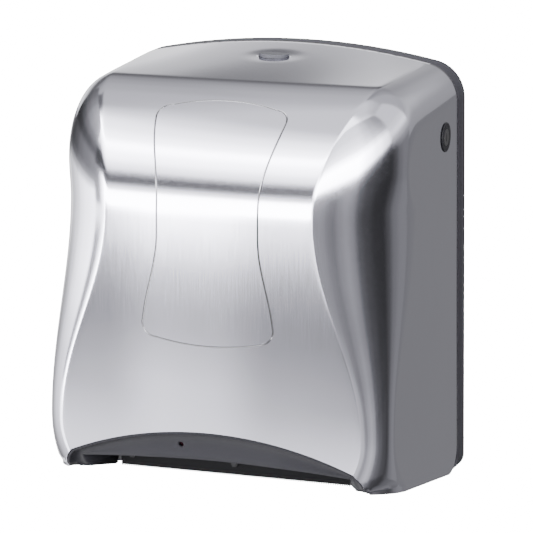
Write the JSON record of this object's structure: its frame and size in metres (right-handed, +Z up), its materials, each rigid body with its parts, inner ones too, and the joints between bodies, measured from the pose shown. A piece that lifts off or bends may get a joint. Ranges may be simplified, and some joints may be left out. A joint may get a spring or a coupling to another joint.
{
  "type": "roll towel dispenser",
  "caption": "Wall-hung touchless roll towel dispenser with a sculpted drop-front steel cover, arched paper outlet, roof latch button and battery-driven roller feed.",
  "frame": {"origin": "centre of the four wall screw holes, on the back plate's back face", "axes": "+Y into the wall, so the front faces -Y; +Z up; +X to the right of a person who faces the dispenser"},
  "size_m": [0.3018, 0.231, 0.366],
  "materials": {
    "cover_steel": "brushed",
    "trim_plastic": "fine texture",
    "plate_plastic": "fine texture",
    "module_plastic": "satin",
    "button_plastic": "satin",
    "pin_steel": "satin",
    "lock_chrome": "polished",
    "hub_plastic": "satin",
    "roller_plastic": "satin",
    "tyre_rubber": "matt",
    "gear_plastic": "satin",
    "motor_steel": "satin",
    "blade_steel": "satin",
    "cell_jacket": "gloss",
    "board_green": "satin",
    "part_black": "matt",
    "lens_dark": "polished",
    "brass_bush": "satin"
  },
  "bodies": {
    "housing": {"back_plate": "plate_plastic", "hinge_pins": "pin_steel", "arm_pins": "pin_steel", "latch_strike": "pin_steel", "lock_keeper": "pin_steel", "left_cheek": "module_plastic", "right_cheek": "module_plastic", "module_floor": "module_plastic", "guide_panel": "module_plastic", "sensor_housing": "part_black", "sensor_lens": "lens_dark", "shaft_bushes": "brass_bush", "pinch_carriers": "module_plastic", "idler_pin": "pin_steel", "motor": "motor_steel", "gear_cover": "module_plastic", "tear_bar": "blade_steel", "battery_tray": "module_plastic", "battery_cells": "cell_jacket", "battery_contacts": "pin_steel", "control_board": "board_green", "board_parts": "part_black", "housing_screws": "pin_steel"},
    "cover": {"cover_shell": "cover_steel", "outlet_trim": "trim_plastic", "left_pivot_cup": "button_plastic", "right_pivot_cup": "button_plastic", "latch_guide": "module_plastic", "lock_bezel": "lock_chrome", "lock_nut": "pin_steel", "latch_spring": "pin_steel"},
    "latch": {"latch_button": "button_plastic"},
    "lock": {"lock_barrel": "lock_chrome", "lock_cam": "pin_steel"},
    "left_arm": {"left_roll_arm": "module_plastic"},
    "right_arm": {"right_roll_arm": "module_plastic"},
    "left_hub": {"left_roll_hub": "hub_plastic"},
    "right_hub": {"right_roll_hub": "hub_plastic"},
    "drive_roller": {"drive_shaft": "pin_steel", "drive_core": "roller_plastic", "drive_tyres": "tyre_rubber", "drive_gear": "gear_plastic"},
    "pinch": {"pinch_roller": "roller_plastic"},
    "idler": {"idler_gear": "gear_plastic"},
    "motor_rotor": {"motor_pinion": "gear_plastic", "motor_shaft": "pin_steel"},
    "lid": {"battery_lid": "module_plastic"},
    "feed": {"feed_button": "hub_plastic"},
    "mode": {"mode_switch": "hub_plastic"}
  },
  "joints": [
    {"name": "cover_hinge", "type": "hinge", "parent": "housing", "child": "cover", "pos_m": [0, -0.0438, -0.1643], "axis": [1, 0, 0], "range_deg": [0, 88]},
    {"name": "latch_press", "type": "slide", "parent": "cover", "child": "latch", "axis": [0, 0, -1], "range_m": [0, 0.003], "stiffness_N_per_m": 500, "springref_m": -0.002, "deforming": ["latch_spring"]},
    {"name": "lock_turn", "type": "hinge", "parent": "cover", "child": "lock", "pos_m": [0.138, -0.0564, 0.1151], "axis": [1, 0, 0], "range_deg": [0, 90]},
    {"name": "left_arm_swing", "type": "hinge", "parent": "housing", "child": "left_arm", "pos_m": [-0.112, -0.016, 0.062], "axis": [0, 0, -1], "range_deg": [0, 12], "stiffness_Nm_per_rad": 2, "springref_deg": -11.46},
    {"name": "right_arm_swing", "type": "hinge", "parent": "housing", "child": "right_arm", "pos_m": [0.112, -0.016, 0.062], "axis": [0, 0, 1], "range_deg": [0, 12], "stiffness_Nm_per_rad": 2, "springref_deg": -11.46},
    {"name": "left_hub_spin", "type": "hinge", "parent": "left_arm", "child": "left_hub", "pos_m": [-0.098, -0.117, 0.062], "axis": [1, 0, 0], "continuous": true},
    {"name": "right_hub_spin", "type": "hinge", "parent": "right_arm", "child": "right_hub", "pos_m": [0.098, -0.117, 0.062], "axis": [1, 0, 0], "continuous": true},
    {"name": "drive_spin", "type": "hinge", "parent": "housing", "child": "drive_roller", "pos_m": [0, -0.152, -0.126], "axis": [1, 0, 0], "continuous": true},
    {"name": "pinch_spin", "type": "hinge", "parent": "housing", "child": "pinch", "pos_m": [0, -0.1763, -0.126], "axis": [1, 0, 0], "continuous": true},
    {"name": "idler_spin", "type": "hinge", "parent": "housing", "child": "idler", "pos_m": [0.114, -0.12881, -0.12287], "axis": [1, 0, 0], "continuous": true},
    {"name": "motor_spin", "type": "hinge", "parent": "housing", "child": "motor_rotor", "pos_m": [0.114, -0.112, -0.14], "axis": [1, 0, 0], "continuous": true},
    {"name": "lid_hinge", "type": "hinge", "parent": "housing", "child": "lid", "pos_m": [0, -0.0156, -0.0789], "axis": [-1, 0, 0], "range_deg": [0, 85]},
    {"name": "feed_press", "type": "slide", "parent": "housing", "child": "feed", "axis": [0, 1, 0], "range_m": [0, 0.0015], "stiffness_N_per_m": 400, "springref_m": -0.002},
    {"name": "mode_slide", "type": "slide", "parent": "housing", "child": "mode", "axis": [1, 0, 0], "range_m": [0, 0.003]}
  ],
  "couplings": [
    {"joint": "pinch_spin", "follows": "drive_spin", "ratio": -2},
    {"joint": "idler_spin", "follows": "drive_spin", "ratio": -2.5455},
    {"joint": "motor_spin", "follows": "drive_spin", "ratio": 7.6364}
  ]
}
